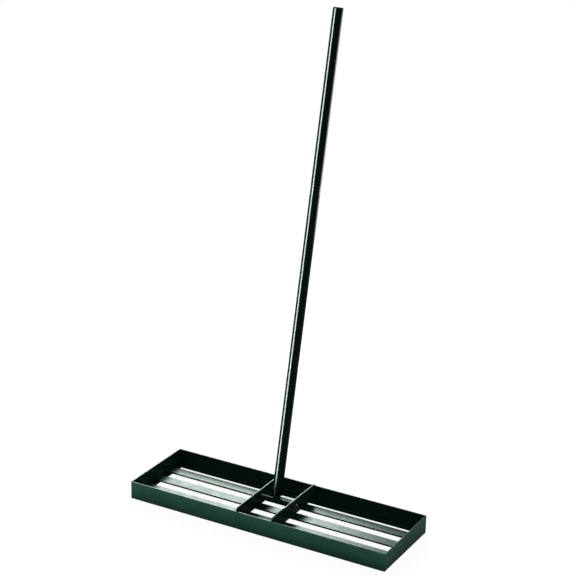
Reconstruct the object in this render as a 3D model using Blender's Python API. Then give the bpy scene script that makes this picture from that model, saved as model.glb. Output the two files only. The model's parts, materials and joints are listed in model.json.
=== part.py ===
# Lawn leveling rake: an open steel frame with three smoothing slats, carried by a three-piece
# tube handle that tilts on a bolt between two ribs.
# Metres, +Z up. The origin is the middle of the middle slat's underside, +X runs along the
# frame's long side and +Y points to the back, the way the handle leans. Heights are measured
# from the ground, which the frame's flanges stand on.

from math import cos, pi, radians, sin

import bmesh
import bpy

mm = 0.001

# Frame: four walls of steel angle, welded at mitred corners.
frame_length = 800 * mm
frame_depth = 254 * mm
wall_height = 52 * mm
wall_thickness = 3 * mm
flange_width = 16 * mm
outer_corner = 0.8 * mm
inner_fillet = 2.4 * mm
edge_break = 0.5 * mm

# Smoothing slats: flat bar, between the end walls.
slat_width = 32 * mm
slat_thickness = 5 * mm
slat_top = 15 * mm
slat_pitch = 62.5 * mm

# Ribs that carry the handle's pivot.
rib_spacing = 111 * mm
rib_thickness = 3 * mm
rib_rise = 9 * mm
rib_corner = 8 * mm

# Pivot: hexagon bolt, two washers and a nut with a nylon collar.
pivot_height = 44 * mm
bolt_diameter = 8 * mm
hex_across_flats = 13 * mm
bolt_head_height = 5.3 * mm
bolt_tip = 3 * mm
nut_height = 5.5 * mm
nut_collar_height = 2.5 * mm
nut_collar_diameter = 11.4 * mm
washer_diameter = 17 * mm
washer_thickness = 1.6 * mm

# Foot of the handle: a cross sleeve on the bolt, and a plug with a flat tongue.
sleeve_diameter = 16 * mm
sleeve_side_gap = 0.5 * mm
tongue_width = 21 * mm
tongue_thickness = 6 * mm
tongue_end = 15 * mm
plug_shoulder = 19 * mm
plug_length = 45 * mm

# Handle tubes and the couplers between them. Stations run along the handle from the pivot.
handle_lean = 11.9
tube_diameter = 28.6 * mm
tube_wall = 1.5 * mm
lower_tube_start = 18 * mm
lower_tube_length = 356 * mm
middle_tube_length = 459 * mm
upper_tube_length = 472 * mm
coupler_collar = 26 * mm
coupler_neck = 0.3 * mm
coupler_chamfer = 0.8 * mm
coupler_spigot = 34 * mm
coupler_wall = 2.5 * mm
cap_thickness = 2.6 * mm
cap_round = 1.2 * mm
cap_skirt = 16 * mm
cap_wall = 2 * mm

# Clearances.
seat_gap = 0.3 * mm
bore_gap = 0.3 * mm
insert_gap = 0.3 * mm

round_steps = 32
small_steps = 24
arc_steps = 4

rib_bottom = slat_top + seat_gap
rib_top = wall_height + rib_rise
rib_inner_x = (rib_spacing - rib_thickness) / 2
rib_outer_x = (rib_spacing + rib_thickness) / 2
bolt_bore = bolt_diameter / 2 + bore_gap
tube_radius = tube_diameter / 2
tube_bore = tube_radius - tube_wall
insert_radius = tube_bore - insert_gap
lower_tube_end = lower_tube_start + lower_tube_length
middle_tube_start = lower_tube_end + coupler_collar + 2 * seat_gap
middle_tube_end = middle_tube_start + middle_tube_length
upper_tube_start = middle_tube_end + coupler_collar + 2 * seat_gap
upper_tube_end = upper_tube_start + upper_tube_length


def clear_scene():
    for item in list(bpy.data.objects):
        bpy.data.objects.remove(item, do_unlink=True)


def add_empty(name, parent=None):
    empty = bpy.data.objects.new(name, None)
    bpy.context.collection.objects.link(empty)
    empty.parent = parent
    return empty


def make_material(name, colour, roughness, metallic):
    material = bpy.data.materials.new(name)
    material.use_nodes = True
    shader = material.node_tree.nodes["Principled BSDF"]
    shader.inputs["Base Color"].default_value = (*colour, 1)
    shader.inputs["Roughness"].default_value = roughness
    shader.inputs["Metallic"].default_value = metallic
    return material


def green_coat(name):
    return make_material(name, (0.012, 0.034, 0.022), 0.38, 0.0)


def black_zinc(name):
    return make_material(name, (0.035, 0.042, 0.040), 0.35, 1.0)


def black_plastic(name):
    return make_material(name, (0.012, 0.014, 0.013), 0.5, 0.0)


def add_piece(name, bm, material, parent, smooth=False):
    bmesh.ops.recalc_face_normals(bm, faces=bm.faces)
    mesh = bpy.data.meshes.new(name)
    bm.to_mesh(mesh)
    bm.free()
    mesh.materials.append(material(name))
    if smooth:
        mesh.shade_smooth()
        mesh.set_sharp_from_angle(angle=radians(35))
    piece = bpy.data.objects.new(name, mesh)
    bpy.context.collection.objects.link(piece)
    piece.parent = parent
    return piece


def break_edges(piece, width):
    bevel = piece.modifiers.new("edge_break", "BEVEL")
    bevel.width = width
    bevel.segments = 1
    bevel.limit_method = "ANGLE"
    bevel.angle_limit = radians(60)


def prism(outline, depth):
    """A closed outline in the YZ plane, drawn out evenly to both sides along X."""
    bm = bmesh.new()
    face = bm.faces.new([bm.verts.new((-depth / 2, y, z)) for y, z in outline])
    drawn = bmesh.ops.extrude_face_region(bm, geom=[face])["geom"]
    moved = [item for item in drawn if isinstance(item, bmesh.types.BMVert)]
    bmesh.ops.translate(bm, verts=moved, vec=(depth, 0, 0))
    return bm


def turned(profile, steps, closed=False):
    """A profile of (radius, height) points, spun once round Z."""
    bm = bmesh.new()
    verts = [bm.verts.new((radius, 0, height)) for radius, height in profile]
    edges = [bm.edges.new(pair) for pair in zip(verts, verts[1:])]
    if closed:
        edges.append(bm.edges.new((verts[-1], verts[0])))
    bmesh.ops.spin(
        bm, geom=verts + edges, cent=(0, 0, 0), axis=(0, 0, 1),
        angle=2 * pi, steps=steps, use_merge=True,
    )
    bmesh.ops.remove_doubles(bm, verts=bm.verts, dist=0.00001)
    return bm


def ring_points(radius, steps):
    return [(radius * cos(2 * pi * i / steps), radius * sin(2 * pi * i / steps)) for i in range(steps)]


def hexagon_points(across_flats, steps):
    """Points on a hexagon, at the same angles as a ring's, so that the two can be bridged."""
    points = []
    for i in range(steps):
        angle = 2 * pi * i / steps
        from_flat = (angle + pi / 6) % (pi / 3) - pi / 6
        radius = across_flats / 2 / cos(from_flat)
        points.append((radius * cos(angle), radius * sin(angle)))
    return points


def rectangle_points(width, thickness, steps):
    """Points on a rectangle, at the same angles as a ring's."""
    points = []
    for i in range(steps):
        angle = 2 * pi * i / steps
        along = abs(cos(angle)) / (width / 2)
        across = abs(sin(angle)) / (thickness / 2)
        radius = 1 / max(along, across)
        points.append((radius * cos(angle), radius * sin(angle)))
    return points


def bridged(sections, closed=False):
    """Sections of equal count, each (points, height), skinned one after the other along Z."""
    bm = bmesh.new()
    loops = []
    for points, height in sections:
        verts = [bm.verts.new((x, y, height)) for x, y in points]
        loops.append([bm.edges.new(pair) for pair in zip(verts, verts[1:] + verts[:1])])
    pairs = list(zip(loops, loops[1:]))
    if closed:
        pairs.append((loops[-1], loops[0]))
    for first, second in pairs:
        bmesh.ops.bridge_loops(bm, edges=first + second)
    if not closed:
        bmesh.ops.holes_fill(bm, edges=loops[0] + loops[-1], sides=0)
    return bm


def lay_on_axle(piece, x):
    """Turns a piece made along Z onto the pivot's axis, with its lower end at x."""
    piece.location = (x, 0, pivot_height)
    piece.rotation_euler = (0, pi / 2, 0)


# Frame

def wall_profile():
    """The angle's section as (depth from the outer face, height) points."""
    quarter = [i / arc_steps * pi / 2 for i in range(arc_steps + 1)]

    def arc(centre, radius, angles):
        return [(centre - radius * cos(angle), centre - radius * sin(angle)) for angle in angles]

    outline = [
        (0, wall_height - edge_break), (edge_break, wall_height),
        (wall_thickness - edge_break, wall_height), (wall_thickness, wall_height - edge_break),
    ]
    outline += arc(wall_thickness + inner_fillet, inner_fillet, quarter)
    outline += [
        (flange_width - edge_break, wall_thickness), (flange_width, wall_thickness - edge_break),
        (flange_width, edge_break), (flange_width - edge_break, 0),
    ]
    outline += arc(outer_corner, outer_corner, reversed(quarter))
    return outline


def add_wall(name, length, outer_distance, turn, ground):
    """One length of angle, its ends cut to the mitre, turned about Z to its side of the frame."""
    mitre_gap = seat_gap / 2 * 2 ** 0.5
    bm = prism([(depth - outer_distance, z) for depth, z in wall_profile()], length)
    for vert in bm.verts:
        depth = vert.co.y + outer_distance
        end = length / 2 - depth - mitre_gap
        vert.co.x = end if vert.co.x > 0 else -end
    piece = add_piece(name, bm, green_coat, ground)
    piece.rotation_euler = (0, 0, turn)
    return piece


def add_walls(ground):
    add_wall("front_wall", frame_length, frame_depth / 2, 0, ground)
    add_wall("right_end_wall", frame_depth, frame_length / 2, pi / 2, ground)
    add_wall("back_wall", frame_length, frame_depth / 2, pi, ground)
    add_wall("left_end_wall", frame_depth, frame_length / 2, -pi / 2, ground)


def add_slats(ground):
    half_width = slat_width / 2
    outline = [
        (-half_width, slat_top - slat_thickness), (half_width, slat_top - slat_thickness),
        (half_width, slat_top), (-half_width, slat_top),
    ]
    slat_length = frame_length - 2 * wall_thickness - 2 * seat_gap
    for name, row in (("front_slat", -1), ("middle_slat", 0), ("rear_slat", 1)):
        piece = add_piece(name, prism(outline, slat_length), green_coat, ground)
        piece.location.y = row * slat_pitch
        break_edges(piece, edge_break)


def add_ribs(ground):
    """Upright plates across the frame, with clipped upper corners and the bolt's hole."""
    reach = frame_depth / 2 - wall_thickness - seat_gap
    outline = [
        (-reach, rib_bottom), (reach, rib_bottom), (reach, rib_top - rib_corner),
        (reach - rib_corner, rib_top), (rib_corner - reach, rib_top), (-reach, rib_top - rib_corner),
    ]
    for name, side in (("left_rib", -1), ("right_rib", 1)):
        piece = add_piece(name, prism(outline, rib_thickness), green_coat, ground)
        piece.location.x = side * rib_spacing / 2
        break_edges(piece, edge_break)
        drill_profile = [
            (0, -rib_thickness), (bolt_bore, -rib_thickness),
            (bolt_bore, rib_thickness), (0, rib_thickness),
        ]
        cutter = add_piece(name + "_drill", turned(drill_profile, small_steps), black_zinc, ground)
        lay_on_axle(cutter, side * rib_spacing / 2)
        cutter.hide_render = True
        cutter.display_type = "WIRE"
        hole = piece.modifiers.new("bolt_hole", "BOOLEAN")
        hole.operation = "DIFFERENCE"
        hole.object = cutter


# Pivot bolt and its fastenings

def add_pivot_hardware(ground):
    washer_x = rib_outer_x + seat_gap
    fastener_x = washer_x + washer_thickness + seat_gap
    nut_end = fastener_x + nut_height + nut_collar_height
    shank_length = fastener_x + nut_end + bolt_tip
    shank = ring_points(bolt_diameter / 2, small_steps)
    head_chamfer = 0.6 * mm
    bolt = bridged([
        (hexagon_points(hex_across_flats - 3 * head_chamfer, small_steps), -bolt_head_height),
        (hexagon_points(hex_across_flats, small_steps), head_chamfer - bolt_head_height),
        (hexagon_points(hex_across_flats, small_steps), 0),
        (shank, 0),
        (shank, shank_length - head_chamfer),
        (ring_points(bolt_diameter / 2 - head_chamfer, small_steps), shank_length),
    ])
    lay_on_axle(add_piece("pivot_bolt", bolt, black_zinc, ground, smooth=True), -fastener_x)

    nut = bridged([
        (ring_points(bolt_bore, small_steps), 0),
        (hexagon_points(hex_across_flats, small_steps), 0),
        (hexagon_points(hex_across_flats, small_steps), nut_height),
        (ring_points(nut_collar_diameter / 2, small_steps), nut_height),
        (ring_points(nut_collar_diameter / 2, small_steps), nut_height + nut_collar_height - head_chamfer),
        (ring_points(nut_collar_diameter / 2 - head_chamfer, small_steps), nut_height + nut_collar_height),
        (ring_points(bolt_bore, small_steps), nut_height + nut_collar_height),
    ], closed=True)
    lay_on_axle(add_piece("pivot_nut", nut, black_zinc, ground, smooth=True), fastener_x)

    for name, x in (("head_washer", -washer_x - washer_thickness), ("nut_washer", washer_x)):
        section = [
            (bolt_bore, 0), (washer_diameter / 2, 0),
            (washer_diameter / 2, washer_thickness), (bolt_bore, washer_thickness),
        ]
        washer = turned(section, small_steps, closed=True)
        lay_on_axle(add_piece(name, washer, black_zinc, ground, smooth=True), x)


# Handle

def add_tube(name, start, length, axle):
    section = [(tube_bore, 0), (tube_radius, 0), (tube_radius, length), (tube_bore, length)]
    tube = add_piece(name, turned(section, round_steps, closed=True), green_coat, axle, smooth=True)
    tube.location.z = start
    return tube


def add_coupler(name, tube_end, axle):
    """A collar as wide as the tubes, with a spigot each way that fits inside them."""
    top = coupler_collar
    shoulder = tube_radius - coupler_chamfer
    spigot_bore = insert_radius - coupler_wall
    section = [
        (spigot_bore, -coupler_spigot), (insert_radius, -coupler_spigot), (insert_radius, 0),
        (shoulder, 0), (tube_radius - coupler_neck, coupler_chamfer),
        (tube_radius - coupler_neck, top - coupler_chamfer), (shoulder, top),
        (insert_radius, top), (insert_radius, top + coupler_spigot), (spigot_bore, top + coupler_spigot),
    ]
    coupler = add_piece(name, turned(section, round_steps, closed=True), green_coat, axle, smooth=True)
    coupler.location.z = tube_end + seat_gap
    return coupler


def add_foot(axle):
    """The cross sleeve, and the plug whose flat tongue stands on it."""
    half_sleeve = rib_inner_x - sleeve_side_gap
    sleeve_radius = sleeve_diameter / 2
    section = [
        (bolt_bore, -half_sleeve), (sleeve_radius, -half_sleeve),
        (sleeve_radius, half_sleeve), (bolt_bore, half_sleeve),
    ]
    sleeve_mesh = turned(section, small_steps, closed=True)
    sleeve = add_piece("pivot_sleeve", sleeve_mesh, green_coat, axle, smooth=True)
    sleeve.rotation_euler = (0, pi / 2, 0)

    tongue = rectangle_points(tongue_width, tongue_thickness, round_steps)
    plug = bridged([
        (tongue, sleeve_radius + seat_gap),
        (tongue, tongue_end),
        (ring_points(insert_radius, round_steps), plug_shoulder),
        (ring_points(insert_radius, round_steps), plug_shoulder + plug_length),
    ])
    add_piece("foot_plug", plug, green_coat, axle, smooth=True)


def add_end_cap(axle):
    """A round insert: a lid as wide as the tube over a skirt inside it."""
    corner = [
        (tube_radius - cap_round + cap_round * sin(angle), cap_thickness - cap_round + cap_round * cos(angle))
        for angle in (radians(60), radians(30))
    ]
    section = [
        (insert_radius - cap_wall, -cap_skirt), (insert_radius, -cap_skirt), (insert_radius, 0),
        (tube_radius, 0), (tube_radius, cap_thickness - cap_round), *corner,
        (tube_radius - cap_round, cap_thickness), (0, cap_thickness), (0, 0), (insert_radius - cap_wall, 0),
    ]
    cap = add_piece("end_cap", turned(section, round_steps, closed=True), black_plastic, axle, smooth=True)
    cap.location.z = upper_tube_end + seat_gap
    return cap


def add_handle(ground):
    axle = add_empty("handle_axle", ground)
    axle.location = (0, 0, pivot_height)
    axle.rotation_euler = (-radians(handle_lean), 0, 0)
    add_foot(axle)
    add_tube("lower_tube", lower_tube_start, lower_tube_length, axle)
    add_coupler("lower_coupler", lower_tube_end, axle)
    add_tube("middle_tube", middle_tube_start, middle_tube_length, axle)
    add_coupler("upper_coupler", middle_tube_end, axle)
    add_tube("upper_tube", upper_tube_start, upper_tube_length, axle)
    add_end_cap(axle)


clear_scene()
base = add_empty("ground")
base.location.z = slat_thickness - slat_top
add_walls(base)
add_slats(base)
add_ribs(base)
add_pivot_hardware(base)
add_handle(base)
bpy.context.view_layer.update()
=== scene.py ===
# Looks of the lawn leveling rake: painted steel frame, welded corners and slats, and a tube handle
# that tilts on a bolt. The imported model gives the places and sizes, and each piece made here stands
# for one of its nodes or rides beside them. Metres, +Z up, with the ground at the frame's soles.
import json
from math import ceil, cos, pi, radians, sin, sqrt, tan

import bmesh
import bpy
from mathutils import Matrix, Quaternion, Vector
from mathutils.noise import noise


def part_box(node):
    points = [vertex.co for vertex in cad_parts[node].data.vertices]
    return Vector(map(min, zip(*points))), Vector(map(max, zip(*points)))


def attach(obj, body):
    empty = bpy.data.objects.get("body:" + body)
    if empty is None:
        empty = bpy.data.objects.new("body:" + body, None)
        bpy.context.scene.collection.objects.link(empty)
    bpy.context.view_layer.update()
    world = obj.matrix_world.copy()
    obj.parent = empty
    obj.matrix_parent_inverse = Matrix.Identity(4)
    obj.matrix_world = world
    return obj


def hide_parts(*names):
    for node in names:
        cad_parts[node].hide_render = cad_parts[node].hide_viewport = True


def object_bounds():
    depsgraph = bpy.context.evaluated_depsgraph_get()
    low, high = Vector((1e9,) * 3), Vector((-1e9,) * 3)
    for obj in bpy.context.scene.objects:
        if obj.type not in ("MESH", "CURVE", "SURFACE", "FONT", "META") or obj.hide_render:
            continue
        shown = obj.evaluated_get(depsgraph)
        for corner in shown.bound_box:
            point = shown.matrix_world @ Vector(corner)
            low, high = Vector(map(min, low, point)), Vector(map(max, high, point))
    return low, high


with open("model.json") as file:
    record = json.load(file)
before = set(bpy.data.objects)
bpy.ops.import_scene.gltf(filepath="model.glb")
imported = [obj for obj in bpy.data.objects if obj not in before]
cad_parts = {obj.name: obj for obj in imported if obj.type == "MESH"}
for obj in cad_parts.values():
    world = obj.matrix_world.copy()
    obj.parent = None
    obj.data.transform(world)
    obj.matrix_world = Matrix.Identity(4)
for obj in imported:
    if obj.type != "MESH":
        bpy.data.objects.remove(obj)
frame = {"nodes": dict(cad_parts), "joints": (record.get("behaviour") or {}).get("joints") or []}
cadLow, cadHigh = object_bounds()
print("frame loaded:", len(frame["nodes"]), "nodes")

groundZ = cadLow.z
pivot = Vector(frame["joints"][0]["pos_m"])
handleLean = radians(11.9)  # as in the photo
onHandle = Matrix.Translation(pivot) @ Matrix.Rotation(-handleLean, 4, "X")
handleUp = (0, sin(handleLean), cos(handleLean))
handleShaft = []  # tubes and collars, which the strip lamps show on
slatNames = ("front_slat", "middle_slat", "rear_slat")
ribNames = ("left_rib", "right_rib")

mergeDistance = 0.000002  # points nearer than this are one
levelFrom = 0.6  # a face whose normal has a larger z looks up


def cadHighOf(node):
    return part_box(node)[1]


# Lays a piece made along Z on the bolt's axis, from x towards +X.
def onAxle(x):
    return Matrix.Translation((x, 0, pivot.z)) @ Matrix.Rotation(pi / 2, 4, "Y")


# Mesh helpers

# A new mesh whose faces can be marked as worn edges.
def startMesh():
    bm = bmesh.new()
    bm.faces.layers.float.new("edgeWear")
    return bm


def bevelEdges(bm, edges, radius, segments):
    made = bmesh.ops.bevel(
        bm, geom=list(edges), offset=radius, offset_type="OFFSET", segments=segments,
        profile=0.5, affect="EDGES", clamp_overlap=True, material=-1)
    return made["faces"]


# Rounds edges, and marks the new faces: paint runs thin there and plate is rubbed.
def roundEdges(bm, edges, radius, segments=3):
    faces = bevelEdges(bm, edges, radius, segments)
    wear = bm.faces.layers.float["edgeWear"]
    for face in faces:
        face[wear] = 1.0


# Edges that run along one axis, numbered 0 to 2.
def edgesAlong(bm, axis):
    across = [i for i in range(3) if i != axis]
    return [edge for edge in bm.edges
            if all(abs(edge.verts[0].co[i] - edge.verts[1].co[i]) < mergeDistance for i in across)]


# Edges that run round a turned piece, all or where test(radius, height) holds.
def ringEdges(bm, test=None):
    found = []
    for edge in bm.edges:
        first, second = (vert.co for vert in edge.verts)
        radius = first.to_2d().length
        level = abs(first.z - second.z) < mergeDistance
        if level and radius > mergeDistance and abs(radius - second.to_2d().length) < mergeDistance:
            if test is None or test(radius, first.z):
                found.append(edge)
    return found


# A box from corner to corner.
def block(low, high):
    bm = startMesh()
    low, high = Vector(low), Vector(high)
    bmesh.ops.create_cube(bm, size=1)
    bmesh.ops.scale(bm, vec=high - low, verts=bm.verts)
    bmesh.ops.translate(bm, vec=(low + high) / 2, verts=bm.verts)
    return bm


# (radius, height) points spun once round Z.
def turned(profile, steps, closed=False):
    bm = startMesh()
    verts = [bm.verts.new((radius, 0, height)) for radius, height in profile]
    edges = [bm.edges.new(pair) for pair in zip(verts, verts[1:])]
    if closed:
        edges.append(bm.edges.new((verts[-1], verts[0])))
    bmesh.ops.spin(bm, geom=verts + edges, cent=(0, 0, 0), axis=(0, 0, 1),
                   angle=2 * pi, steps=steps, use_merge=True)
    bmesh.ops.remove_doubles(bm, verts=bm.verts, dist=mergeDistance)
    return bm


# Cuts a closed mesh with a plane, drops the side that normal points to, and closes the cut.
def cutOff(bm, point, normal):
    everything = bm.verts[:] + bm.edges[:] + bm.faces[:]
    made = bmesh.ops.bisect_plane(bm, geom=everything, plane_co=point, plane_no=normal, clear_outer=True)
    rim = [item for item in made["geom_cut"] if isinstance(item, bmesh.types.BMEdge)]
    bmesh.ops.holes_fill(bm, edges=rim, sides=0)


def toMesh(bm, name):
    bmesh.ops.remove_doubles(bm, verts=bm.verts, dist=mergeDistance)
    bm.normal_update()
    bmesh.ops.recalc_face_normals(bm, faces=bm.faces)
    mesh = bpy.data.meshes.new(name)
    bm.to_mesh(mesh)
    bm.free()
    return mesh


# Makes the piece's object, with smooth shading over its rounded edges, and hands it to its body.
# Faces that look up take topPaint, where one is given.
def finishPiece(name, bm, paint, body, nodes=(), smoothTo=38, topPaint=None):
    mesh = toMesh(bm, name)
    mesh.materials.append(paint)
    if topPaint:
        mesh.materials.append(topPaint)
        for face in mesh.polygons:
            face.material_index = 1 if face.normal.z > levelFrom else 0
    mesh.shade_smooth()
    mesh.set_sharp_from_angle(angle=radians(smoothTo))
    piece = bpy.data.objects.new(name, mesh)
    bpy.context.collection.objects.link(piece)
    evened = piece.modifiers.new("even_normals", "WEIGHTED_NORMAL")
    evened.keep_sharp = True
    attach(piece, body)
    if nodes:
        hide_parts(*nodes)
    return piece


# Materials

# A new material, its tree and its shader, and the socket that gives the place on the object.
def nodeMaker(name):
    material = bpy.data.materials.new(name)
    material.use_nodes = True
    tree = material.node_tree
    shader = tree.nodes["Principled BSDF"]
    place = tree.nodes.new("ShaderNodeTexCoord")
    return material, tree, shader, place.outputs["Object"]


# Noise whose lumps are about size metres across.
def grainNode(tree, place, size, detail=3.0, roughness=0.5, stretch=None):
    grain = tree.nodes.new("ShaderNodeTexNoise")
    grain.inputs["Scale"].default_value = 0.5 / size
    grain.inputs["Detail"].default_value = detail
    grain.inputs["Roughness"].default_value = roughness
    if stretch:
        mapping = tree.nodes.new("ShaderNodeMapping")
        mapping.inputs["Scale"].default_value = stretch
        tree.links.new(place, mapping.inputs["Vector"])
        place = mapping.outputs["Vector"]
    tree.links.new(place, grain.inputs["Vector"])
    return grain.outputs["Fac"]


# Stretches a value from one range to another, which ends at low and high.
def rangeNode(tree, value, low, high, fromLow=0.3, fromHigh=0.7):
    spread = tree.nodes.new("ShaderNodeMapRange")
    spread.inputs["From Min"].default_value = fromLow
    spread.inputs["From Max"].default_value = fromHigh
    spread.inputs["To Min"].default_value = low
    spread.inputs["To Max"].default_value = high
    tree.links.new(value, spread.inputs["Value"])
    return spread.outputs["Result"]


# Blends two colours, each a colour value or a socket.
def mixNode(tree, share, first, second):
    mix = tree.nodes.new("ShaderNodeMix")
    mix.data_type = "RGBA"
    tree.links.new(share, mix.inputs[0])
    sockets = [item for item in mix.inputs if item.type == "RGBA"]
    for socket, colour in zip(sockets, (first, second)):
        if isinstance(colour, bpy.types.NodeSocket):
            tree.links.new(colour, socket)
        else:
            socket.default_value = (*colour, 1)
    return [item for item in mix.outputs if item.type == "RGBA"][0]


def mathNode(tree, operation, first, second):
    node = tree.nodes.new("ShaderNodeMath")
    node.operation = operation
    for socket, value in zip(node.inputs, (first, second)):
        if isinstance(value, bpy.types.NodeSocket):
            tree.links.new(value, socket)
        else:
            socket.default_value = value
    return node.outputs["Value"]


# Surface relief that is distance deep, over another one if given.
def bumpNode(tree, height, distance, under=None):
    bump = tree.nodes.new("ShaderNodeBump")
    bump.inputs["Distance"].default_value = distance
    bump.inputs["Strength"].default_value = 1
    tree.links.new(height, bump.inputs["Height"])
    if under is not None:
        tree.links.new(under, bump.inputs["Normal"])
    return bump.outputs["Normal"]


# One paint, whose gloss differs by place: frame is for upright faces, level for those that look up,
# weld for the beads and the handle's foot, tube and collar for its shaft.
coatLook = {
    "frame": {"colour": (0.0160, 0.0550, 0.0350), "specular": 0.005, "metallic": 0,
              "tint": (0.77, 1.0, 0.89), "roughness": (0.16, 0.24)},
    "level": {"colour": (0.0160, 0.0550, 0.0350), "specular": 0.046, "metallic": 0.13,
              "tint": (0.98, 1.0, 0.99), "roughness": (0.24, 0.33)},
    "weld": {"colour": (0.0140, 0.0490, 0.0310), "specular": 0.02, "metallic": 0,
             "tint": (0.77, 1.0, 0.89), "roughness": (0.20, 0.28)},
    # The tube and collar colour is the frame's green darkened about tenfold: painted shade on the
    # handle's shaft.
    "tube": {"colour": (0.0002, 0.0048, 0.0020), "specular": 0.035, "metallic": 0,
             "tint": (0.77, 1.0, 0.89), "roughness": (0.13, 0.18)},
    "collar": {"colour": (0.0002, 0.0048, 0.0020), "specular": 0.043, "metallic": 0,
               "tint": (0.77, 1.0, 0.89), "roughness": (0.09, 0.13)},
    "cloudSize": 0.03,
    "cloudDepth": 0.80,
    "thinColour": (0.030, 0.062, 0.047),
    "thinSize": 0.004,
    "thinShare": (0.05, 0.75),
    "sheenSize": 0.012,
    "peelSize": 0.0016,
    "peelDepth": 0.00002,
    "nibSpacing": 0.018,
    "nibSize": 0.0007,
    "nibHeight": 0.00005,
}


# Dark green satin powder coat, with orange peel, a few nibs of dust under it, and thin edges.
def powderCoat(name, kind):
    material, tree, shader, place = nodeMaker(name)
    look = coatLook[kind]
    shader.inputs["Metallic"].default_value = look["metallic"]
    shader.inputs["Specular IOR Level"].default_value = look["specular"]
    shader.inputs["Specular Tint"].default_value = (*look["tint"], 1)

    cloud = grainNode(tree, place, coatLook["cloudSize"], detail=4)
    deep = tuple(part * coatLook["cloudDepth"] for part in look["colour"])
    coat = mixNode(tree, rangeNode(tree, cloud, 0, 1), deep, look["colour"])
    edge = tree.nodes.new("ShaderNodeAttribute")
    edge.attribute_name = "edgeWear"
    patches = grainNode(tree, place, coatLook["thinSize"], detail=4)
    patches = rangeNode(tree, patches, *coatLook["thinShare"])
    thin = mathNode(tree, "MULTIPLY", edge.outputs["Fac"], patches)
    coat = mixNode(tree, thin, coat, coatLook["thinColour"])
    tree.links.new(coat, shader.inputs["Base Color"])

    sheen = grainNode(tree, place, coatLook["sheenSize"], detail=5, roughness=0.6)
    tree.links.new(rangeNode(tree, sheen, *look["roughness"]), shader.inputs["Roughness"])

    nibs = tree.nodes.new("ShaderNodeTexVoronoi")
    nibs.inputs["Scale"].default_value = 1 / coatLook["nibSpacing"]
    tree.links.new(place, nibs.inputs["Vector"])
    reach = coatLook["nibSize"] / coatLook["nibSpacing"]
    nib = rangeNode(tree, nibs.outputs["Distance"], 1, 0, 0, reach)
    wide = bumpNode(tree, nib, coatLook["nibHeight"])
    peel = grainNode(tree, place, coatLook["peelSize"], detail=1.5)
    fine = bumpNode(tree, peel, coatLook["peelDepth"], under=wide)
    tree.links.new(fine, shader.inputs["Normal"])
    return material


zincLook = {
    "colours": ((0.020, 0.026, 0.024), (0.052, 0.062, 0.058)),
    "bloomSize": 0.003,
    "rubbedColour": (0.20, 0.21, 0.21),
    "rubbedSize": 0.0012,
    "rubbedShare": (0, 0.7),
    "roughness": (0.24, 0.42),
    "markSize": 0.0005,
    "markStretch": (0.15, 1, 1),
    "markDepth": 0.000012,
}


# Blackened zinc plate on the fasteners: dark metal with a faint cloudy bloom and tool marks.
def blackZinc(name):
    look = zincLook
    material, tree, shader, place = nodeMaker(name)
    shader.inputs["Metallic"].default_value = 1
    bloom = grainNode(tree, place, look["bloomSize"], detail=5)
    plate = mixNode(tree, rangeNode(tree, bloom, 0, 1), *look["colours"])
    edge = tree.nodes.new("ShaderNodeAttribute")
    edge.attribute_name = "edgeWear"
    patches = rangeNode(tree, grainNode(tree, place, look["rubbedSize"]), *look["rubbedShare"])
    rubbed = mathNode(tree, "MULTIPLY", edge.outputs["Fac"], patches)
    plate = mixNode(tree, rubbed, plate, look["rubbedColour"])
    tree.links.new(plate, shader.inputs["Base Color"])
    tree.links.new(rangeNode(tree, bloom, *look["roughness"]), shader.inputs["Roughness"])
    marks = grainNode(tree, place, look["markSize"], detail=2, stretch=look["markStretch"])
    tree.links.new(bumpNode(tree, marks, look["markDepth"]), shader.inputs["Normal"])
    return material


plasticLook = {
    "cap": {"colour": (0.010, 0.014, 0.012), "roughness": (0.40, 0.50)},
    "nylon": {"colour": (0.030, 0.034, 0.032), "roughness": (0.35, 0.45)},
    "specular": 0.35,
    "cloudSize": 0.006,
    "cloudGain": 1.35,
    "cloudLift": 0.002,
    "grainSize": 0.0004,
    "grainDepth": 0.00002,
}


# Moulded plastic with a fine spark-eroded grain.
def mouldedPlastic(name, kind):
    material, tree, shader, place = nodeMaker(name)
    look = plasticLook[kind]
    pale = tuple(part * plasticLook["cloudGain"] + plasticLook["cloudLift"] for part in look["colour"])
    cloud = rangeNode(tree, grainNode(tree, place, plasticLook["cloudSize"], detail=3), 0, 1)
    tree.links.new(mixNode(tree, cloud, look["colour"], pale), shader.inputs["Base Color"])
    shader.inputs["Specular IOR Level"].default_value = plasticLook["specular"]
    grain = grainNode(tree, place, plasticLook["grainSize"], detail=2)
    tree.links.new(rangeNode(tree, grain, *look["roughness"]), shader.inputs["Roughness"])
    tree.links.new(bumpNode(tree, grain, plasticLook["grainDepth"]), shader.inputs["Normal"])
    return material


frameCoat = powderCoat("frame_coat", "frame")
levelCoat = powderCoat("level_coat", "level")
weldCoat = powderCoat("weld_coat", "weld")
tubeCoat = powderCoat("tube_coat", "tube")
collarCoat = powderCoat("collar_coat", "collar")
fastenerPlate = blackZinc("black_zinc")
capPlastic = mouldedPlastic("cap_plastic", "cap")
nutNylon = mouldedPlastic("nut_nylon", "nylon")
print("materials made")


# Frame: walls of steel angle

wallLook = {
    "thickness": 0.003,
    "cornerRadius": 0.0007,
    "filletRadius": 0.0024,
    "filletSteps": 8,
    "edgeRadius": 0.0005,
    "mitreGap": 0.0001,
    "cornerSetback": 0.0012,
}
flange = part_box("front_wall")[1].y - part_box("front_wall")[0].y
innerX = cadHigh.x - wallLook["thickness"]
innerY = cadHighOf("back_wall").y - wallLook["thickness"]
wallTop = cadHighOf("front_wall").z


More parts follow.
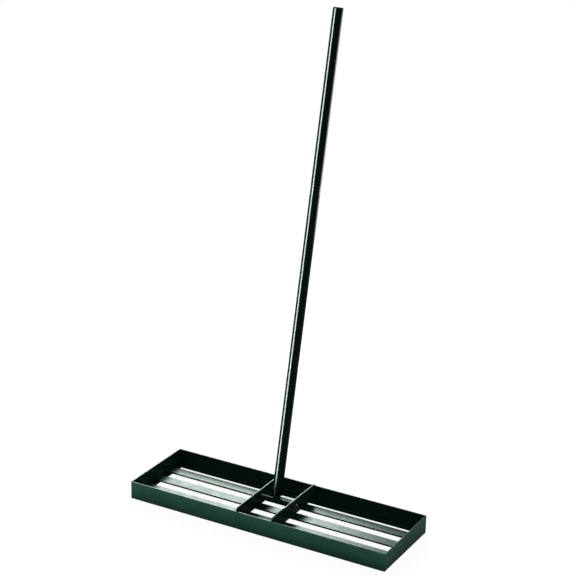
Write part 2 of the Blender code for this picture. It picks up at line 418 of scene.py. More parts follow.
# One length of angle: drawn out along X, its corner and fillet rounded, its ends mitred, then turned.
def angleWall(name, turn):
    low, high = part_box(name)
    alongX = high.x - low.x > high.y - low.y
    length = high.x - low.x if alongX else high.y - low.y
    outer = max(abs(low.y), abs(high.y)) if alongX else max(abs(low.x), abs(high.x))
    thick = wallLook["thickness"]
    section = [(0, low.z), (flange, low.z), (flange, low.z + thick),
               (thick, low.z + thick), (thick, high.z), (0, high.z)]
    bm = startMesh()
    face = bm.faces.new([bm.verts.new((-length / 2, depth - outer, z)) for depth, z in section])
    drawn = bmesh.ops.extrude_face_region(bm, geom=[face])["geom"]
    moved = [item for item in drawn if isinstance(item, bmesh.types.BMVert)]
    bmesh.ops.translate(bm, verts=moved, vec=(length, 0, 0))

    def longEdges(corners):
        return [edge for edge in edgesAlong(bm, 0)
                if any(abs(edge.verts[0].co.y + outer - depth) < mergeDistance
                       and abs(edge.verts[0].co.z - z) < mergeDistance for depth, z in corners)]

    rims = longEdges([(flange, low.z), (flange, low.z + thick), (thick, high.z), (0, high.z)])
    roundEdges(bm, rims, wallLook["edgeRadius"])
    roundEdges(bm, longEdges([(0, low.z)]), wallLook["cornerRadius"], segments=4)
    bevelEdges(bm, longEdges([(thick, low.z + thick)]), wallLook["filletRadius"], wallLook["filletSteps"])
    for side in (-1, 1):
        corner = Vector((side * (length / 2 - wallLook["mitreGap"]), -outer, 0))
        cutOff(bm, corner, (side, 1, 0))
        setback = Vector((side * (length / 2 - wallLook["cornerSetback"]), 0, 0))
        cutOff(bm, setback, (side, 0, 0))
    bmesh.ops.rotate(bm, verts=bm.verts, cent=(0, 0, 0), matrix=Matrix.Rotation(turn, 3, "Z"))
    finishPiece(name + "_steel", bm, frameCoat, "head", [name], topPaint=levelCoat)


for wallName, wallTurn in (("front_wall", 0), ("right_end_wall", pi / 2),
                           ("back_wall", pi), ("left_end_wall", -pi / 2)):
    angleWall(wallName, wallTurn)


# Frame: slats and ribs

slatLook = {"edgeRadius": 0.0003}
ribLook = {"edgeRadius": 0.0004, "clip": 0.008, "bore": 0.0043, "boreEdge": 0.0003, "drillSteps": 48}

for slatName in slatNames:
    slat = block(*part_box(slatName))
    roundEdges(slat, edgesAlong(slat, 0), slatLook["edgeRadius"], segments=4)
    finishPiece(slatName + "_bar", slat, frameCoat, "head", [slatName], topPaint=levelCoat)


# An upright plate with clipped upper corners, drilled for the bolt.
def ribPlate(name):
    low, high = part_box(name)
    bm = block(low, high)
    upper = [edge for edge in edgesAlong(bm, 0) if edge.verts[0].co.z > pivot.z]
    bevelEdges(bm, upper, ribLook["clip"], 1)
    sides = [edge for edge in bm.edges if len(edge.link_faces) == 2
             and {abs(round(face.normal.x)) for face in edge.link_faces} == {0, 1}]
    roundEdges(bm, sides, ribLook["edgeRadius"])
    half = (high.x - low.x) / 2
    bore, flare = ribLook["bore"], ribLook["boreEdge"]
    drill = turned([(0, -2 * half), (bore + flare + half, -2 * half), (bore, flare - half),
                    (bore, half - flare), (bore + flare + half, 2 * half), (0, 2 * half)],
                   ribLook["drillSteps"])
    bmesh.ops.transform(drill, matrix=onAxle((low.x + high.x) / 2), verts=drill.verts)
    drillPiece = bpy.data.objects.new("drill", toMesh(drill, "drill"))
    platePiece = bpy.data.objects.new("plate", toMesh(bm, "plate"))
    for item in (drillPiece, platePiece):
        bpy.context.collection.objects.link(item)
    hole = platePiece.modifiers.new("hole", "BOOLEAN")
    hole.operation = "DIFFERENCE"
    hole.object = drillPiece
    seen = platePiece.evaluated_get(bpy.context.evaluated_depsgraph_get())
    drilled = bmesh.new()
    drilled.from_mesh(seen.to_mesh())
    for item in (drillPiece, platePiece):
        bpy.data.objects.remove(item)
    finishPiece(name + "_plate", drilled, frameCoat, "head", [name], topPaint=levelCoat)


for ribName in ribNames:
    ribPlate(ribName)
print("frame made: walls, slats and ribs")


# Welds: each bead is a grid rolled into a tube along its seam, with ripples where the pool froze

weldLook = {
    "ripple": 0.0019,
    "rippleDepth": 0.055,
    "crescent": 0.30,
    "ringsPerRipple": 5,
    "fewestRings": 8,
    "sides": 14,
    "unevenness": 0.10,
    "unevenScale": 260,
}


# Adds one bead. seamAt(share) gives a point on the seam, the direction across it and the one out.
def addBead(target, length, seamAt, width, depth, closed=False):
    look = weldLook
    rings = max(look["fewestRings"], ceil(length / look["ripple"] * look["ringsPerRipple"]))
    endDome = 0 if closed else width / length
    bead = bmesh.new()
    # The grid is centred and 1 wide each way: x becomes the way along the seam, y the way round.
    bmesh.ops.create_grid(bead, x_segments=rings, y_segments=look["sides"], size=0.5)
    for vert in bead.verts:
        share, angle = vert.co.x + 0.5, (vert.co.y + 0.5) * 2 * pi
        point, across, out = seamAt(share)
        fromEnd = min(share, 1 - share) / endDome if endDome else 1
        dome = sqrt(max(0, 1 - (1 - min(1, fromEnd)) ** 2))
        crest = abs(sin(pi * (share * length / look["ripple"] - look["crescent"] * sin(angle) ** 2)))
        swell = 1 - look["rippleDepth"] * (1 - crest)
        swell *= 1 - look["unevenness"] * (0.5 + 0.5 * noise(Vector(point) * look["unevenScale"]))
        vert.co = point + (across * (cos(angle) * width) + out * (sin(angle) * depth)) * (dome * swell)
    bmesh.ops.remove_doubles(bead, verts=bead.verts, dist=mergeDistance * 2)  # closes it and its ends
    bead.normal_update()
    bmesh.ops.recalc_face_normals(bead, faces=bead.faces)
    mesh = bpy.data.meshes.new("bead")
    bead.to_mesh(mesh)
    bead.free()
    target.from_mesh(mesh)
    bpy.data.meshes.remove(mesh)


# A bead along a straight inner corner, whose face looks along out.
def straightBead(target, start, end, out, width, depth):
    start, end, out = Vector(start), Vector(end), Vector(out).normalized()
    across = (end - start).cross(out).normalized()
    length = (end - start).length
    addBead(target, length, lambda share: (start.lerp(end, share), across, out), width, depth)


seamLook = {
    "cornerRadius": 0.0022,
    "cornerTop": 0.0006,
    "cornerTurn": 0.0030,
    "innerWidth": 0.0031,
    "innerDepth": 0.0017,
    "innerFoot": 0.006,
    "innerTop": 0.0022,
    "slatWidth": 0.0030,
    "slatDepth": 0.0016,
    "slatInset": 0.003,
    "ribWidth": 0.0027,
    "ribDepth": 0.0014,
    "ribFoot": 0.001,
    "ribTop": 0.003,
    "stitchInset": 0.004,
}


# The mitre's seam: down the corner, round the bend and in along the flange, ground flush outside.
def cornerBead(target, sideX, sideY):
    radius, bend = seamLook["cornerRadius"], seamLook["cornerTurn"]
    top = wallTop - seamLook["cornerTop"]
    straight = top - (groundZ + bend)
    curved = (bend - radius) * pi / 2
    flat = flange - bend - radius
    length = straight + curved + flat
    inwards = Vector((-sideX, -sideY, 0)) / sqrt(2)
    across = Vector((-sideY, sideX, 0)) / sqrt(2)
    corner = Vector((sideX * cadHigh.x, sideY * cadHighOf("back_wall").y, 0))

    def seamAt(share):
        along = share * length
        if along < straight:
            depth, z, turn = radius, top - along, 0
        elif along < straight + curved:
            turn = (along - straight) / (bend - radius)
            depth = bend - (bend - radius) * cos(turn)
            z = groundZ + bend - (bend - radius) * sin(turn)
        else:
            depth, z, turn = bend + along - straight - curved, groundZ + radius, pi / 2
        out = inwards * -cos(turn) + Vector((0, 0, -sin(turn)))
        return corner + inwards * (depth * sqrt(2)) + Vector((0, 0, z)), across, out

    addBead(target, length, seamAt, radius, radius)


# Makes one piece of all its beads.
def weldPiece(name, beads, body):
    mesh = bpy.data.meshes.new(name)
    beads.to_mesh(mesh)
    beads.free()
    mesh.materials.append(weldCoat)
    mesh.shade_smooth()
    piece = bpy.data.objects.new(name, mesh)
    bpy.context.collection.objects.link(piece)
    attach(piece, body)


corners = bmesh.new()
for sideX in (-1, 1):
    for sideY in (-1, 1):
        cornerBead(corners, sideX, sideY)
        heights = (groundZ + seamLook["innerFoot"], wallTop - seamLook["innerTop"])
        seam = [Vector((sideX * innerX, sideY * innerY, z)) for z in heights]
        straightBead(corners, *seam, (-sideX, -sideY, 0), seamLook["innerWidth"], seamLook["innerDepth"])
weldPiece("corner_welds", corners, "head")

slatWelds = bmesh.new()
for slatName in slatNames:
    low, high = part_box(slatName)
    inset = seamLook["slatInset"]
    for sideX in (-1, 1):
        for z, up in ((high.z, 1), (low.z, -1)):
            seam = [Vector((sideX * innerX, y, z)) for y in (low.y + inset, high.y - inset)]
            straightBead(slatWelds, *seam, (-sideX, 0, up), seamLook["slatWidth"], seamLook["slatDepth"])
weldPiece("slat_welds", slatWelds, "head")

ribWelds = bmesh.new()
for ribName in ribNames:
    low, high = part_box(ribName)
    for face, sideX in ((low.x, -1), (high.x, 1)):
        for sideY in (-1, 1):
            heights = (low.z + seamLook["ribFoot"], wallTop - seamLook["ribTop"])
            seam = [Vector((face, sideY * innerY, z)) for z in heights]
            straightBead(ribWelds, *seam, (sideX, -sideY, 0), seamLook["ribWidth"], seamLook["ribDepth"])
        for slatName in slatNames:
            slatLow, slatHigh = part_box(slatName)
            inset = seamLook["stitchInset"]
            seam = [Vector((face, y, slatHigh.z)) for y in (slatLow.y + inset, slatHigh.y - inset)]
            straightBead(ribWelds, *seam, (sideX, 0, 1), seamLook["ribWidth"], seamLook["ribDepth"])
weldPiece("rib_welds", ribWelds, "head")
print("frame welds laid")


# Pivot: bolt, washers and lock nut

fastenerLook = {
    "acrossFlats": 0.013,
    "flatCircle": 0.93,
    "chamferAngle": radians(30),
    "steps": 72,
    "slope": 0.0001,  # keeps a flat face's rings out of one plane
    "boltRadius": 0.004,
    "bore": 0.0043,
}
# The washer face and its rim are shares of the hexagon, and the thread's root and crest of a pitch.
boltLook = {
    "headFace": 0.0003,
    "headGap": 0.0003,
    "washerFace": 0.96,
    "washerRim": 0.95,
    "pitch": 0.00125,
    "rootDepth": 0.00077,
    "rootEnd": 0.25,
    "crestStart": 0.56,
    "crestEnd": 0.69,
    "threadTurns": 13,
    "threadSteps": 36,
    "threadNeck": 0.0006,
    "leadIn": 1.1,
    "runOut": 0.0002,
    "tipChamfer": 0.0008,
}
# The collar is rolled over the nylon ring and crimped on it.
nutLook = {
    "hexHeight": 0.0055,
    "collarRadius": 0.0057,
    "collarWall": 0.0007,
    "collarStep": 0.0002,
    "collarRound": 0.0009,
    "collarBend": 0.0003,
    "crimp": 0.0003,
    "crimpTop": 0.0002,
    "crimpFoot": 0.0007,
    "insertBore": 0.0041,
    "insertGap": 0.0001,
    "insertDepth": 0.0008,
    "insertEdge": 0.0002,
    "insertSteps": 48,
}
washerLook = {"edgeRadius": 0.0003, "steps": 64}
hexRadius = fastenerLook["acrossFlats"] / 2
faceRadius = hexRadius * fastenerLook["flatCircle"]


# A ring on the hexagon's outline. The chamfer lowers its corners at 1 and raises them at -1.
def hexRing(bm, height, chamferDown=0):
    look = fastenerLook
    ring = bmesh.ops.create_circle(bm, segments=look["steps"], radius=1, cap_ends=False)["verts"]
    for vert in ring:
        direction = vert.co.to_2d().normalized()
        angle = direction.angle_signed(Vector((1, 0)))
        fromFlat = (angle + pi / 6) % (pi / 3) - pi / 6
        radius = hexRadius / cos(fromFlat)
        drop = (radius - faceRadius) * tan(look["chamferAngle"]) * chamferDown
        vert.co = (direction.x * radius, direction.y * radius, height - drop)
    return ring


def roundRing(bm, radius, height):
    ring = bmesh.ops.create_circle(bm, segments=fastenerLook["steps"], radius=radius, cap_ends=False)
    bmesh.ops.translate(bm, verts=ring["verts"], vec=(0, 0, height))
    return ring["verts"]


# A ring's edges, each once and always in the same order.
def ringEdgesOf(ring):
    inRing = set(ring)
    found = [edge for vert in ring for edge in vert.link_edges if set(edge.verts) <= inRing]
    return list(dict.fromkeys(found))


# Skins rings of equal count one after the other. No two neighbours lie in one plane, because the
# bridge between them would twist.
def joinRings(bm, rings, closed=False, capped=False):
    loops = [ringEdgesOf(ring) for ring in rings]
    pairs = list(zip(loops, loops[1:])) + ([(loops[-1], loops[0])] if closed else [])
    for first, second in pairs:
        bmesh.ops.bridge_loops(bm, edges=first + second)
    if capped:
        bmesh.ops.holes_fill(bm, edges=loops[0] + loops[-1], sides=0)


# The thread of a bolt between two heights: one pitch of its outline, wound up and cut off flat.
def threadedEnd(start, end):
    look = boltLook
    crest, pitch = fastenerLook["boltRadius"], look["pitch"]
    root = crest - look["rootDepth"]
    bm = startMesh()
    outline = [(root, 0), (root, look["rootEnd"]), (crest, look["crestStart"]),
               (crest, look["crestEnd"]), (root, 1)]
    first = start - look["leadIn"] * pitch
    verts = [bm.verts.new((radius, 0, first + share * pitch)) for radius, share in outline]
    edges = [bm.edges.new(pair) for pair in zip(verts, verts[1:])]
    steps = look["threadSteps"]
    turns = ceil((end - start) / pitch) + 2
    bmesh.ops.spin(bm, geom=verts + edges, cent=(0, 0, 0), axis=(0, 0, 1), dvec=(0, 0, pitch / steps),
                   angle=2 * pi * turns, steps=steps * turns, use_merge=False)
    bmesh.ops.remove_doubles(bm, verts=bm.verts, dist=mergeDistance * 4)  # joins turn to turn
    cutOff(bm, (0, 0, start), (0, 0, -1))
    cutOff(bm, (0, 0, end), (0, 0, 1))
    for vert in bm.verts:
        limit = root + min(1, max(0, (end - vert.co.z) / look["tipChamfer"])) * look["rootDepth"]
        radius = vert.co.to_2d().length
        if radius > limit:
            vert.co.x *= limit / radius
            vert.co.y *= limit / radius
    return bm


# The hexagon head and the shank are one skin of rings, and the thread is a second one after it.
def pivotBolt():
    look = boltLook
    radius, slope = fastenerLook["boltRadius"], fastenerLook["slope"]
    low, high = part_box("pivot_bolt")
    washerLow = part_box("head_washer")[0]
    headHeight = washerLow.x - low.x - look["headGap"]
    length = high.x - low.x
    threadStart = length - look["threadTurns"] * look["pitch"]
    hexEnd = headHeight - look["headFace"]
    bm = startMesh()
    rings = [
        roundRing(bm, faceRadius, 0),
        hexRing(bm, 0, -1),
        hexRing(bm, hexEnd),
        roundRing(bm, hexRadius * look["washerFace"], hexEnd + slope),
        roundRing(bm, hexRadius * look["washerRim"], headHeight),
        roundRing(bm, radius, headHeight - slope),
        roundRing(bm, radius, threadStart - look["threadNeck"]),
        roundRing(bm, radius - look["rootDepth"], threadStart),
    ]
    joinRings(bm, rings, capped=True)
    thread = threadedEnd(threadStart - look["runOut"], length)
    threadMesh = toMesh(thread, "thread")
    bm.from_mesh(threadMesh)
    bpy.data.meshes.remove(threadMesh)
    bmesh.ops.transform(bm, matrix=onAxle(low.x), verts=bm.verts)
    finishPiece("pivot_bolt_m8", bm, fastenerPlate, "head", ["pivot_bolt"], smoothTo=25)


# A nut with a nylon ring that grips the thread.
def lockNut():
    look = nutLook
    bore, slope = fastenerLook["bore"], fastenerLook["slope"]
    low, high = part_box("pivot_nut")
    height = high.x - low.x
    hexTop = look["hexHeight"]
    collar = look["collarRadius"]
    lip = collar - look["collarWall"]
    crimp, crimpFoot = lip - look["crimp"], height - look["crimpFoot"]
    bm = startMesh()
    rings = [
        roundRing(bm, bore, slope),
        roundRing(bm, faceRadius, 0),
        hexRing(bm, 0, -1),
        hexRing(bm, hexTop, 1),
        roundRing(bm, faceRadius, hexTop),
        roundRing(bm, collar, hexTop + look["collarStep"]),
        roundRing(bm, collar, height - look["collarRound"]),
        roundRing(bm, collar - look["collarBend"], height - look["collarBend"]),
        roundRing(bm, collar - look["collarRound"], height),
        roundRing(bm, crimp, height - look["crimpTop"]),
        roundRing(bm, crimp, crimpFoot),
        roundRing(bm, lip, crimpFoot - slope),
        roundRing(bm, lip, hexTop),
        roundRing(bm, bore, hexTop - slope),
    ]
    joinRings(bm, rings, closed=True)
    bmesh.ops.transform(bm, matrix=onAxle(low.x), verts=bm.verts)
    finishPiece("pivot_nut_locking", bm, fastenerPlate, "head", ["pivot_nut"], smoothTo=25)

    inner, outer = look["insertBore"], lip - look["insertGap"]
    foot, top = hexTop + look["insertGap"], height - look["insertDepth"]
    insert = turned([(inner, foot), (outer, foot), (outer, top), (inner, top)],
                    look["insertSteps"], closed=True)
    upper = ringEdges(insert, lambda radius, z: z > (foot + top) / 2)
    roundEdges(insert, upper, look["insertEdge"], segments=2)
    bmesh.ops.transform(insert, matrix=onAxle(low.x), verts=insert.verts)
    finishPiece("nut_insert", insert, nutNylon, "head")


# A punched washer, rounded where the punch drew it in.
def washer(name):
    low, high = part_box(name)
    thickness = high.x - low.x
    bore, outer = fastenerLook["bore"], (high.z - low.z) / 2
    bm = turned([(bore, 0), (outer, 0), (outer, thickness), (bore, thickness)],
                washerLook["steps"], closed=True)
    rims = ringEdges(bm, lambda radius, z: radius > (bore + outer) / 2)
    roundEdges(bm, rims, washerLook["edgeRadius"])
    bmesh.ops.transform(bm, matrix=onAxle(low.x), verts=bm.verts)
    finishPiece(name + "_disc", bm, fastenerPlate, "head", [name])


pivotBolt()
lockNut()
washer("head_washer")
washer("nut_washer")
print("pivot made: bolt, washers and lock nut")


# Handle

tubeLook = {"wall": 0.0015, "lip": 0.0004, "steps": 72, "insertGap": 0.0003}
tubeRadius = (cadHighOf("lower_tube").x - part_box("lower_tube")[0].x) / 2
tubeBore = tubeRadius - tubeLook["wall"]
insertRadius = tubeBore - tubeLook["insertGap"]


# Where one of the tubes starts and ends, measured from the pivot along the handle.
def span(name):
    low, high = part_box(name)
    overhang = tubeRadius * sin(handleLean)
    return [(z - pivot.z) / cos(handleLean) for z in (low.z + overhang, high.z - overhang)]


def handleTube(name):
    start, end = span(name)
    bm = turned([(tubeBore, start), (tubeRadius, start), (tubeRadius, end), (tubeBore, end)],
                tubeLook["steps"], closed=True)
    roundEdges(bm, ringEdges(bm), tubeLook["lip"])
    bmesh.ops.transform(bm, matrix=onHandle, verts=bm.verts)
    handleShaft.append(finishPiece(name + "_steel", bm, tubeCoat, "handle", [name]))
    return start, end


lowerStart, lowerEnd = handleTube("lower_tube")
middleStart, middleEnd = handleTube("middle_tube")
upperStart, upperEnd = handleTube("upper_tube")

couplerLook = {
    "spigot": 0.034,
    "wall": 0.0025,
    "neck": 0.0003,
    "chamfer": 0.0010,
    "seat": 0.0003,
    "lip": 0.0004,
}


# A collar between two tubes, chamfered at both ends, with a spigot into each.
def coupler(name, below, above):
    look = couplerLook
    low, high = below + look["seat"], above - look["seat"]
    bore = insertRadius - look["wall"]
    outer = tubeRadius - look["neck"]
    bm = turned([
        (bore, low - look["spigot"]), (insertRadius, low - look["spigot"]), (insertRadius, low),
        (outer, low), (outer, high), (insertRadius, high),
        (insertRadius, high + look["spigot"]), (bore, high + look["spigot"]),
    ], tubeLook["steps"], closed=True)
    collarEnds = ringEdges(bm, lambda radius, z: radius > (insertRadius + outer) / 2)
    roundEdges(bm, collarEnds, look["chamfer"])
    halfway = look["spigot"] / 2
    lips = ringEdges(bm, lambda radius, z: z < low - halfway or z > high + halfway)
    roundEdges(bm, lips, look["lip"], segments=2)
    bmesh.ops.transform(bm, matrix=onHandle, verts=bm.verts)
    handleShaft.append(finishPiece(name + "_collar", bm, collarCoat, "handle", [name]))


coupler("lower_coupler", lowerEnd, middleStart)
coupler("upper_coupler", middleEnd, upperStart)

capLook = {
    "thickness": 0.0026,
    "round": 0.0012,
    "seatRound": 0.0003,
    "neck": 0.0001,
    "skirt": 0.016,
    "wall": 0.002,
    "dish": 0.0004,
    "dishInset": 0.004,
    "dishSlope": 0.001,
}


# A plug of moulded plastic: a lid with a shallow dish over a skirt inside the tube.
def endCap():
    look = capLook
    seat = upperEnd + couplerLook["seat"]
    top = seat + look["thickness"]
    bore = insertRadius - look["wall"]
    dishRadius = tubeRadius - look["dishInset"]
    capRadius = tubeRadius - look["neck"]
    bm = turned([
        (0, top - look["dish"]), (dishRadius - look["dishSlope"], top - look["dish"]), (dishRadius, top),
        (capRadius, top), (capRadius, seat), (insertRadius, seat), (insertRadius, seat - look["skirt"]),
        (bore, seat - look["skirt"]), (bore, seat), (0, seat),
    ], tubeLook["steps"])
    rim = (insertRadius + capRadius) / 2
    upper = ringEdges(bm, lambda radius, z: radius > rim and z > (seat + top) / 2)
    roundEdges(bm, upper, look["round"], segments=5)
    lower = ringEdges(bm, lambda radius, z: radius > rim and abs(z - seat) < mergeDistance)
    roundEdges(bm, lower, look["seatRound"], segments=2)
    bmesh.ops.transform(bm, matrix=onHandle, verts=bm.verts)
    finishPiece("end_cap_moulded", bm, capPlastic, "handle", ["end_cap"])


endCap()

footLook = {
    "sleeveRadius": 0.008,
    "sleeveBore": 0.0043,
    "sleeveEdge": 0.0006,
    "tongueWidth": 0.021,
    "tongueThickness": 0.006,
    "tongueEnd": 0.0145,
    "shoulder": 0.0195,
    "plugEnd": 0.064,
    "rings": 10,
    "steps": 72,
    "squareness": 9,
}


def crossSleeve():
    look = footLook
    half = cadHighOf("pivot_sleeve").x
    bm = turned([(look["sleeveBore"], -half), (look["sleeveRadius"], -half),
                 (look["sleeveRadius"], half), (look["sleeveBore"], half)], look["steps"], closed=True)
    roundEdges(bm, ringEdges(bm), look["sleeveEdge"], segments=2)
    bmesh.ops.transform(bm, matrix=onAxle(0), verts=bm.verts)
    finishPiece("pivot_sleeve_tube", bm, weldCoat, "handle", ["pivot_sleeve"])


# A ring that goes from the tongue's squarish outline, at 0, to the plug's circle, at 1.
def tongueRing(bm, height, roundness):
    look = footLook
    halfWidth = look["tongueWidth"] / 2 * (1 - roundness) + insertRadius * roundness
    halfThick = look["tongueThickness"] / 2 * (1 - roundness) + insertRadius * roundness
    power = look["squareness"] * (1 - roundness) + 2 * roundness
    ring = bmesh.ops.create_circle(bm, segments=look["steps"], radius=1, cap_ends=False)["verts"]
    for vert in ring:
        across, through = abs(vert.co.x) / halfWidth, abs(vert.co.y) / halfThick
        radius = (across ** power + through ** power) ** (-1 / power)
        vert.co = (vert.co.x * radius, vert.co.y * radius, height)
    return ring


# The plug in the lowest tube, forged down to the flat tongue that stands on the sleeve.
def footPlug():
    look = footLook
    start = look["sleeveRadius"]
    bm = startMesh()
    rings = [tongueRing(bm, start, 0), tongueRing(bm, look["tongueEnd"], 0)]
    for i in range(1, look["rings"] + 1):
        share = i / look["rings"]
        height = look["tongueEnd"] + share * (look["shoulder"] - look["tongueEnd"])
        rings.append(tongueRing(bm, height, share * share * (3 - 2 * share)))
    rings.append(tongueRing(bm, look["plugEnd"], 1))
    joinRings(bm, rings, capped=True)
    bmesh.ops.transform(bm, matrix=onHandle, verts=bm.verts)
    finishPiece("foot_plug_forged", bm, weldCoat, "handle", ["foot_plug"])


footWeldLook = {
    "lean": 0.8,
    "sideWidth": 0.0024,
    "sideDepth": 0.0015,
    "sideInset": 0.0008,
    "sideSink": 0.0004,
    "endWidth": 0.0022,
    "endDepth": 0.0014,
    "endReach": 0.0024,
    "endSink": 0.0002,
    "ringWidth": 0.0014,
    "ringDepth": 0.0012,
    "ringInset": 0.0016,
    "ringDrop": 0.0001,
}


# Fillets along and across the tongue's foot on the sleeve, and a ring where the plug enters the tube.
def footWelds():
    look = footWeldLook
    tongueEdge, sleeveTop = footLook["tongueWidth"] / 2, footLook["sleeveRadius"]
    half, reach = tongueEdge - look["sideInset"], look["endReach"]
    beads = bmesh.new()
    for side in (-1, 1):
        face = side * footLook["tongueThickness"] / 2
        seam = [(x, face, sleeveTop - look["sideSink"]) for x in (-half, half)]
        straightBead(beads, *seam, (0, side, look["lean"]), look["sideWidth"], look["sideDepth"])
        seam = [(side * tongueEdge, y, sleeveTop - look["endSink"]) for y in (-reach, reach)]
        straightBead(beads, *seam, (side, 0, look["lean"]), look["endWidth"], look["endDepth"])
    radius = tubeRadius - look["ringInset"]
    height = lowerStart - look["ringDrop"]

    def ringSeam(share):
        angle = share * 2 * pi
        outwards = Vector((cos(angle), sin(angle), 0))
        return outwards * radius + Vector((0, 0, height)), outwards, Vector((0, 0, -1))

    addBead(beads, 2 * pi * radius, ringSeam, look["ringWidth"], look["ringDepth"], closed=True)
    bmesh.ops.transform(beads, matrix=onHandle, verts=beads.verts)
    weldPiece("foot_welds", beads, "handle")


crossSleeve()
footPlug()
footWelds()
print("handle made: tubes, couplers, cap and foot")


# Floor, light and camera

studio = {
    "floorRadius": 45,
    "floorSides": 96,
    "floorDrop": 0.0001,
    "floorColour": (0.80, 0.80, 0.80),
    "nearFloor": 1.2,
    "farFloor": 3.0,
    "whiteShare": 0.90,
    "whiteLevel": 1.07,
    "ambient": (0.97, 0.99, 1.0),
    "ambientLevel": 0.16,
}


# 1 where a surface is seen straight, in a reflection or through glass, and 0 where it sheds light.
def seenNode(tree):
    rays = tree.nodes.new("ShaderNodeLightPath")
    seen = mathNode(tree, "MAXIMUM", rays.outputs["Is Camera Ray"], rays.outputs["Is Glossy Ray"])
    return mathNode(tree, "MAXIMUM", seen, rays.outputs["Is Transmission Ray"])


# A wide disc. Seen straight or in a reflection it is lifted towards white, near the object only so
# far that it keeps the shadow.
def paleFloor():
    bm = bmesh.new()
    bmesh.ops.create_circle(bm, cap_ends=True, segments=studio["floorSides"],
                            radius=studio["floorRadius"])
    bmesh.ops.translate(bm, verts=bm.verts, vec=(0, 0, groundZ - studio["floorDrop"]))
    mesh = bpy.data.meshes.new("floor")
    bm.to_mesh(mesh)
    bm.free()
    material = bpy.data.materials.new("floor_paint")
    material.use_nodes = True
    tree = material.node_tree
    tree.nodes.remove(tree.nodes["Principled BSDF"])
    matt = tree.nodes.new("ShaderNodeBsdfDiffuse")
    matt.inputs["Color"].default_value = (*studio["floorColour"], 1)
    away = tree.nodes.new("ShaderNodeVectorMath")
    away.operation = "LENGTH"
    tree.links.new(tree.nodes.new("ShaderNodeTexCoord").outputs["Object"], away.inputs[0])
    reach = (studio["nearFloor"], studio["farFloor"])
    glow = tree.nodes.new("ShaderNodeEmission")
    level = rangeNode(tree, away.outputs["Value"], studio["whiteLevel"], 1, *reach)
    tree.links.new(level, glow.inputs["Strength"])
    whiteShare = rangeNode(tree, away.outputs["Value"], studio["whiteShare"], 1, *reach)
    share = mathNode(tree, "MULTIPLY", seenNode(tree), whiteShare)
    mix = tree.nodes.new("ShaderNodeMixShader")
    tree.links.new(share, mix.inputs["Fac"])
    tree.links.new(matt.outputs["BSDF"], mix.inputs[1])
    tree.links.new(glow.outputs["Emission"], mix.inputs[2])
    tree.links.new(mix.outputs["Shader"], tree.nodes["Material Output"].inputs["Surface"])
    mesh.materials.append(material)
    floor = bpy.data.objects.new("floor", mesh)
    bpy.context.collection.objects.link(floor)


# Each lamp's level is its brightness, where 1 is a sheet of fully lit white paper. Its second size
# runs along "along". A strip is a lamp that only shows as a reflection on the handle's shaft.
softBoxes = {
    "mainBox": {"place": (-1.861, 2.461, 1.854), "aim": (0, 0, 0), "size": (1.65, 1.27), "level": 27},
    "leftStrip": {"place": (-0.30, -0.247, 0.76), "aim": (0, 0.148, 0.677), "size": (0.19, 1.47),
                  "level": 320, "along": handleUp, "strip": True},
    "rimStrip": {"place": (1.15, 1.85, 0.60), "aim": (0, 0.20, 0.70), "size": (1.4, 0.85),
                 "level": 16, "strip": True},
    "rightLow": {"place": (3.0, 0.35, groundZ + 0.026), "aim": (0.4, 0.1, groundZ + 0.026),
                 "size": (1.6, 0.050), "level": 52, "inGloss": False},
    "frontGlow": {"place": (0, -0.377, groundZ + 0.001), "aim": (0, -0.377, 1), "size": (1.3, 0.40),
                  "level": 2.3, "along": (0, 1, 0), "inGloss": False},
    "rightGlow": {"place": (0.650, 0.06, groundZ + 0.001), "aim": (0.650, 0.06, 1), "size": (0.40, 0.75),
                  "level": 1.5, "along": (0, 1, 0), "inGloss": False},
    "frontLow": {"place": (-1.0, -1.4, groundZ + 0.022), "aim": (-0.2, 0, groundZ + 0.022),
                 "size": (1.8, 0.040), "level": 42, "inGloss": False},
}


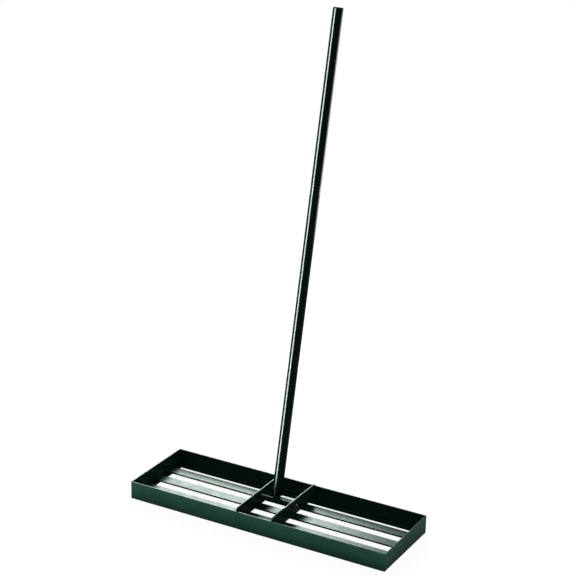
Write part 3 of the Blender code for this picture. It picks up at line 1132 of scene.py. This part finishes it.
def softBox(name, place, aim, size, level, along=(0, 0, 1), inGloss=True, strip=False):
    light = bpy.data.lights.new(name, "AREA")
    light.shape = "RECTANGLE"
    light.size, light.size_y = size
    light.energy = pi * size[0] * size[1] * level
    lamp = bpy.data.objects.new(name, light)
    lamp.location = place
    lamp.rotation_mode = "QUATERNION"
    back = (Vector(place) - Vector(aim)).normalized()
    side = Vector(along).cross(back).normalized()
    lamp.rotation_quaternion = Matrix((side, back.cross(side), back)).transposed().to_quaternion()
    lamp.visible_camera = False
    lamp.visible_glossy = inGloss
    if strip:
        lamp.visible_diffuse = False
        lit = bpy.data.collections.new(name + "_shows_on")
        for piece in handleShaft:
            lit.objects.link(piece)
        lamp.light_linking.receiver_collection = lit
    bpy.context.collection.objects.link(lamp)


# Soft light from all round. Seen straight or in a reflection, the room is white.
def ambientLight():
    world = bpy.data.worlds.new("studio")
    world.use_nodes = True
    tree = world.node_tree
    sky = tree.nodes["Background"]
    sky.inputs["Color"].default_value = (*studio["ambient"], 1)
    sky.inputs["Strength"].default_value = studio["ambientLevel"]
    room = tree.nodes.new("ShaderNodeBackground")
    room.inputs["Color"].default_value = (1, 1, 1, 1)
    mix = tree.nodes.new("ShaderNodeMixShader")
    tree.links.new(seenNode(tree), mix.inputs["Fac"])
    tree.links.new(sky.outputs["Background"], mix.inputs[1])
    tree.links.new(room.outputs["Background"], mix.inputs[2])
    tree.links.new(mix.outputs["Shader"], tree.nodes["World Output"].inputs["Surface"])
    bpy.context.scene.world = world


photoView = {
    "place": (2.05498, -3.66512, 2.19499),
    "azimuth": 29.014,
    "elevation": 20.031,
    "roll": 1.267,
    "lens": 105.597,
    "sensor": 36,
    "farthest": 200,
}


# The camera of the photograph. Azimuth 0 looks along +Y, and roll turns it about its own axis.
def photoCamera():
    azimuth, elevation = radians(photoView["azimuth"]), radians(photoView["elevation"])
    back = Vector((sin(azimuth) * cos(elevation), -cos(azimuth) * cos(elevation), sin(elevation)))
    data = bpy.data.cameras.new("camera")
    data.lens = photoView["lens"]
    data.sensor_width = photoView["sensor"]
    data.clip_end = photoView["farthest"]
    camera = bpy.data.objects.new("camera", data)
    camera.location = photoView["place"]
    camera.rotation_mode = "QUATERNION"
    roll = Quaternion((0, 0, 1), radians(photoView["roll"]))
    camera.rotation_quaternion = (-back).to_track_quat("-Z", "Y") @ roll
    bpy.context.collection.objects.link(camera)
    bpy.context.scene.camera = camera


paleFloor()
for boxName, boxValues in softBoxes.items():
    softBox(boxName, **boxValues)
ambientLight()
photoCamera()
bpy.context.scene.view_settings.view_transform = "Standard"
print("studio set up")
